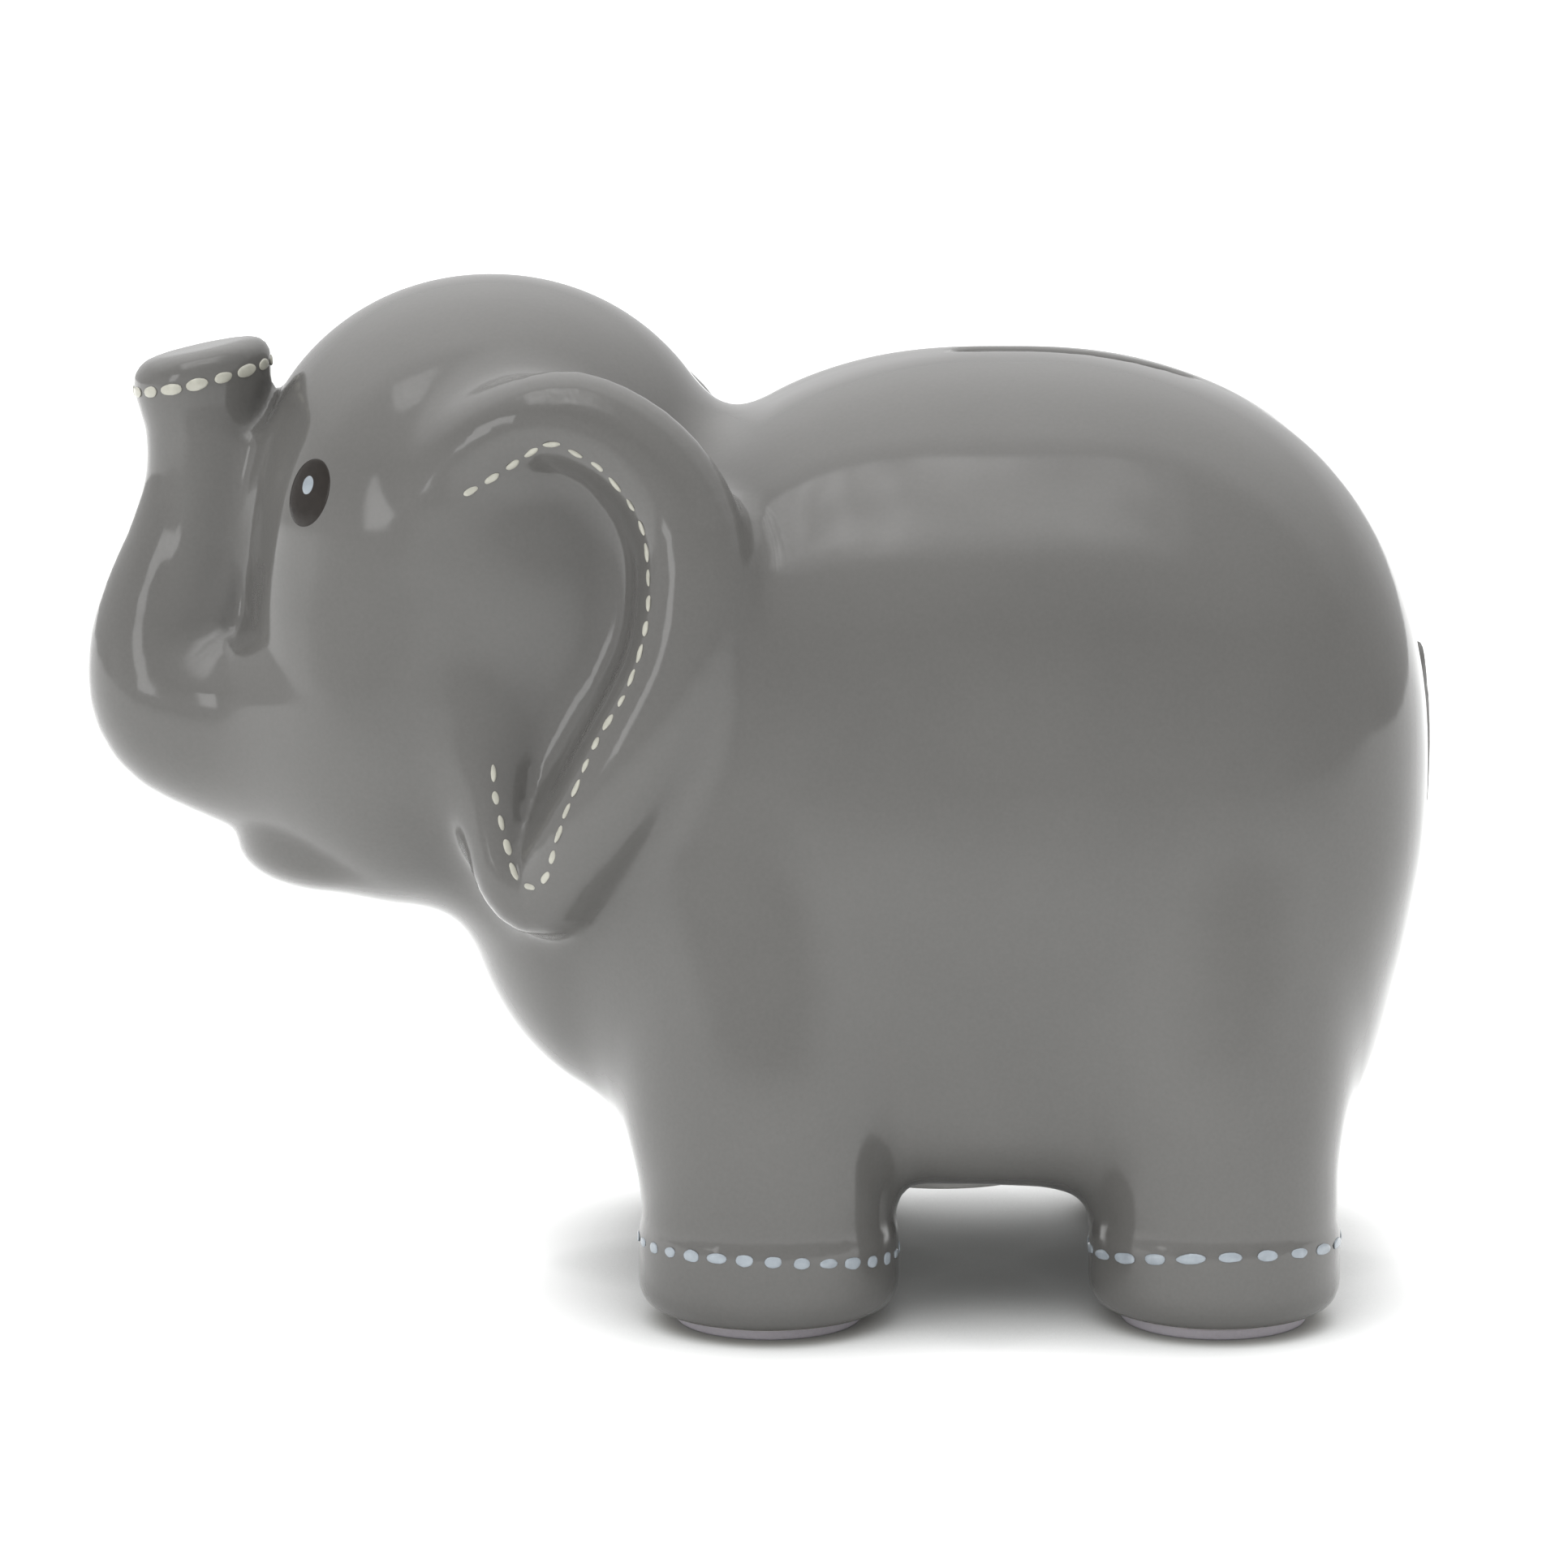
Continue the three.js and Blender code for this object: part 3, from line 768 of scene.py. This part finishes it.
def lathe(profile, around):
    """Rows of radius, turn and height, and faces, of a turned body. Its profile runs from the axis at
    the bottom, out and up, to the axis at the top."""
    rows = [(0, 0, profile[0][1])]
    for radius, height in profile[1:-1]:
        rows += [(radius, 2 * math.pi * step / around, height) for step in range(around)]
    rows.append((0, 0, profile[-1][1]))
    faces = []
    for ring in range(len(profile) - 3):
        for step in range(around):
            here = 1 + ring * around + step
            beside = 1 + ring * around + (step + 1) % around
            faces.append((here, beside, beside + around, here + around))
    last = len(rows) - 1
    for step in range(around):
        beside = (step + 1) % around
        faces.append((0, 1 + beside, 1 + step))
        faces.append((last - around + step, last - around + beside, last))
    return np.array(rows, float), faces


def enamel_spots(name, spot, paint):
    """A thin domed oval on each side of the face, its underside sunk in the glaze."""
    x, z = spot["middle"]
    middle = drop([(x, 0, z)])
    out = slope(middle, casting)[1][0]
    out /= np.linalg.norm(out)
    up = np.array([0, 0, 1]) - out[2] * out
    up /= np.linalg.norm(up)
    along = np.cross(up, out)
    lean = math.radians(spot["lean"])
    up, along = up * math.cos(lean) + along * math.sin(lean), along * math.cos(lean) - up * math.sin(lean)
    dome = [(math.cos(rise), spot["thickness"] * math.sin(rise)) for rise in np.linspace(0, math.pi / 2, 8)]
    rows, faces = lathe([(0, -SPOT_SUNK), (0.5, -SPOT_SUNK), (1, -SPOT_SUNK), *dome], 48)
    right = spot["half_width"] * rows[:, 0] * np.cos(rows[:, 1])
    rise = spot["half_height"] * rows[:, 0] * np.sin(rows[:, 1])
    points = settle(middle + right[:, None] * along + rise[:, None] * up, casting)
    outward = slope(points, casting)[1]
    outward /= np.linalg.norm(outward, axis=1)[:, None]
    points += rows[:, 2:] * outward
    mirrored = points * (1, -1, 1)
    back_faces = [tuple(len(points) + corner for corner in face[::-1]) for face in faces]
    made = new_object(name, np.vstack([points, mirrored]) * MM, faces + back_faces)
    made.data.materials.append(paint)
    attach(made, "bank")


enamel_spots("eyes", EYE, enamel("dark_brown_enamel", linear(38, 34, 31), 1.3))
enamel_spots("eye_glints", GLINT, enamel("pale_enamel", linear(138, 146, 153)))


# Stopper: a soft vinyl cup pushed up into the belly hole until its flange meets the ceramic. It has
# a shallow recess underneath and is pulled out to empty the bank.
STOPPER = {"flange": 2.2, "stem": 15.9, "bore": 13, "floor": 2.4, "recess": 9.5, "recess_depth": 1,
           "edge": 0.6}


def rounded(profile, radius, steps=4):
    """A profile with its corners rounded off, the first and last points left on the axis."""
    rows = [Vector(point) for point in profile]
    line = [tuple(rows[0])]
    for before, corner, after in zip(rows, rows[1:], rows[2:]):
        start = corner + (before - corner).normalized() * min(radius, (before - corner).length / 2)
        end = corner + (after - corner).normalized() * min(radius, (after - corner).length / 2)
        for step in range(steps + 1):
            share = step / steps
            bend = (1 - share) ** 2 * start + 2 * share * (1 - share) * corner + share ** 2 * end
            line.append(tuple(bend))
    line.append(tuple(rows[-1]))
    return line


def turned_piece(name, profile, centre, around, material, body):
    rows, faces = lathe(profile, around)
    points = np.stack([rows[:, 0] * np.cos(rows[:, 1]) + centre.x,
                       rows[:, 0] * np.sin(rows[:, 1]) + centre.y, rows[:, 2]], 1)
    made = new_object(name, points * MM, faces)
    made.data.materials.append(material)
    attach(made, body)
    return made


def moulded(name, tone, scale, depth, roughness):
    """A moulded soft plastic: faintly cloudy, with a fine skin texture."""
    material, tree = new_material(name)
    place = tree.node("TexCoord", out="Object")
    cloudy = tree.node("TexNoise", {}, {"Vector": place, "Scale": 60.0, "Detail": 3.0})
    fine = tree.node("TexNoise", {}, {"Vector": place, "Scale": scale, "Detail": 3.0})
    color = tree.node("ValToRGB", {}, {0: cloudy * 0.6 + fine * 0.4}, stops=[
        (0.3, tuple(0.9 * part for part in tone)), (0.7, tuple(1.05 * part for part in tone))])
    skin_bump = tree.node("Bump", {}, {"Height": fine, "Strength": 0.5, "Distance": depth})
    surface = tree.node("BsdfPrincipled", {}, {
        "Base Color": color, "Roughness": fine * 0.15 + roughness, "Normal": skin_bump, "IOR": 1.46})
    tree.node("OutputMaterial", {}, {"Surface": surface})
    return material


bottom = stopper_low.z
flange_top = bottom + STOPPER["flange"]
flange = (stopper_high.x - stopper_low.x) / 2
stopper_profile = rounded([
    (0, bottom + STOPPER["recess_depth"]), (STOPPER["recess"] - 0.4, bottom + STOPPER["recess_depth"]),
    (STOPPER["recess"], bottom), (flange, bottom), (flange, flange_top), (STOPPER["stem"], flange_top),
    (STOPPER["stem"], stopper_high.z), (STOPPER["bore"], stopper_high.z),
    (STOPPER["bore"], flange_top + STOPPER["floor"]), (0, flange_top + STOPPER["floor"])],
    STOPPER["edge"])
vinyl = moulded("translucent_vinyl", linear(176, 175, 171), 900.0, 0.0001, 0.34)
middle = (stopper_low + stopper_high) / 2
stopper = turned_piece("belly_stopper", stopper_profile, middle, 96, vinyl, "stopper")
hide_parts("stopper")


# Foot pads: a pale lilac cushion disc stuck in the ring of bare clay under each foot.
PAD_EDGE = 0.5

foam = moulded("lilac_cushion_foam", linear(186, 182, 190), 1600.0, 0.0002, 0.62)
for end in LEG_RADII:
    for side in ("left", "right"):
        low, high = (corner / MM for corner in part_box(f"{end}_{side}_foot_pad"))
        radius = (high.x - low.x) / 2
        pad_profile = rounded([(0, low.z), (radius, low.z), (radius, high.z), (0, high.z)], PAD_EDGE)
        pad = turned_piece(f"{end}_{side}_cushion", pad_profile, (low + high) / 2, 72, foam,
                           "bank")
        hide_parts(f"{end}_{side}_foot_pad")
